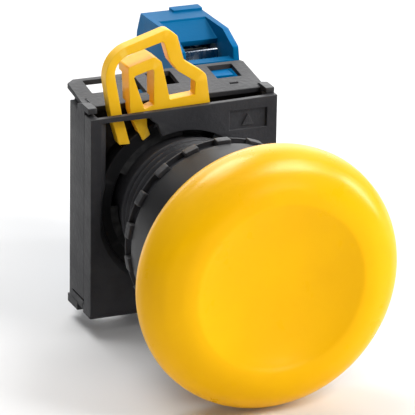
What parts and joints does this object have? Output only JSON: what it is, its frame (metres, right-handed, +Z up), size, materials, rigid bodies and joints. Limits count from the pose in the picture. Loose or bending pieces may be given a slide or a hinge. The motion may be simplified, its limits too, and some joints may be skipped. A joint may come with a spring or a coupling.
{
  "type": "industrial push button",
  "caption": "Mushroom-head momentary push button for a 22 mm panel hole, with bayonet contact adapter, swinging lock lever and a screw-terminal contact block.",
  "frame": {"origin": "centre of the panel hole in the panel's front face, where the gasket seats", "axes": "+Y along the button's axis from the head into the panel, +X to the right for a person facing the head, +Z up"},
  "size_m": [0.04, 0.0711, 0.0473],
  "materials": {
    "yellow_head": "smooth satin moulded plastic",
    "black_plastic": "satin moulded plastic",
    "black_fine": "smooth satin moulded plastic",
    "yellow_lever": "smooth moulded plastic",
    "blue_plastic": "satin moulded plastic",
    "white_plastic": "satin moulded plastic",
    "rubber": "matt",
    "spring_steel": "drawn wire",
    "zinc_steel": "zinc plated",
    "brass": "stamped sheet",
    "silver_contact": "bright"
  },
  "bodies": {
    "housing": {"operator_sleeve": "black_plastic", "bezel_ring": "black_fine", "panel_gasket": "rubber", "adapter_front_cover": "black_plastic", "adapter_frame": "black_plastic", "contact_front_case": "blue_plastic", "contact_housing": "blue_plastic", "fixed_terminal_upper": "brass", "fixed_terminal_lower": "brass", "fixed_contact_tips": "silver_contact", "terminal_screws": "zinc_steel", "terminal_washers": "zinc_steel", "return_spring": "spring_steel", "contact_spring": "spring_steel"},
    "button": {"mushroom_cap": "yellow_head", "plunger": "white_plastic", "plunger_seal": "rubber", "retaining_clip": "spring_steel", "pusher_plate": "black_fine"},
    "contact_plunger": {"contact_plunger": "white_plastic", "bridge_spring": "spring_steel"},
    "contact_bridge": {"moving_bridge": "brass", "bridge_contact_tips": "silver_contact"},
    "lock_lever": {"lock_lever": "yellow_lever", "bayonet_ring": "black_fine"},
    "locking_ring": {"locking_ring": "black_plastic"}
  },
  "joints": [
    {"name": "button_press", "type": "slide", "parent": "housing", "child": "button", "axis": [0, 1, 0], "range_m": [0, 0.004], "stiffness_N_per_m": 900, "springref_m": -0.004, "deforming": ["return_spring"]},
    {"name": "contact_press", "type": "slide", "parent": "housing", "child": "contact_plunger", "axis": [0, 1, 0], "range_m": [0, 0.004], "deforming": ["contact_spring"]},
    {"name": "bridge_press", "type": "slide", "parent": "housing", "child": "contact_bridge", "axis": [0, 1, 0], "range_m": [0, 0.0024], "deforming": ["bridge_spring"]},
    {"name": "lock_turn", "type": "hinge", "parent": "housing", "child": "lock_lever", "pos_m": [0, 0.0178, 0], "axis": [0, 1, 0], "range_deg": [0, 30]},
    {"name": "locking_ring_turn", "type": "hinge", "parent": "housing", "child": "locking_ring", "pos_m": [0, 0.0025, 0], "axis": [0, 1, 0], "continuous": true}
  ],
  "couplings": [
    {"joint": "contact_press", "follows": "button_press", "ratio": 1},
    {"joint": "bridge_press", "follows": "button_press", "ratio": 0.6}
  ]
}
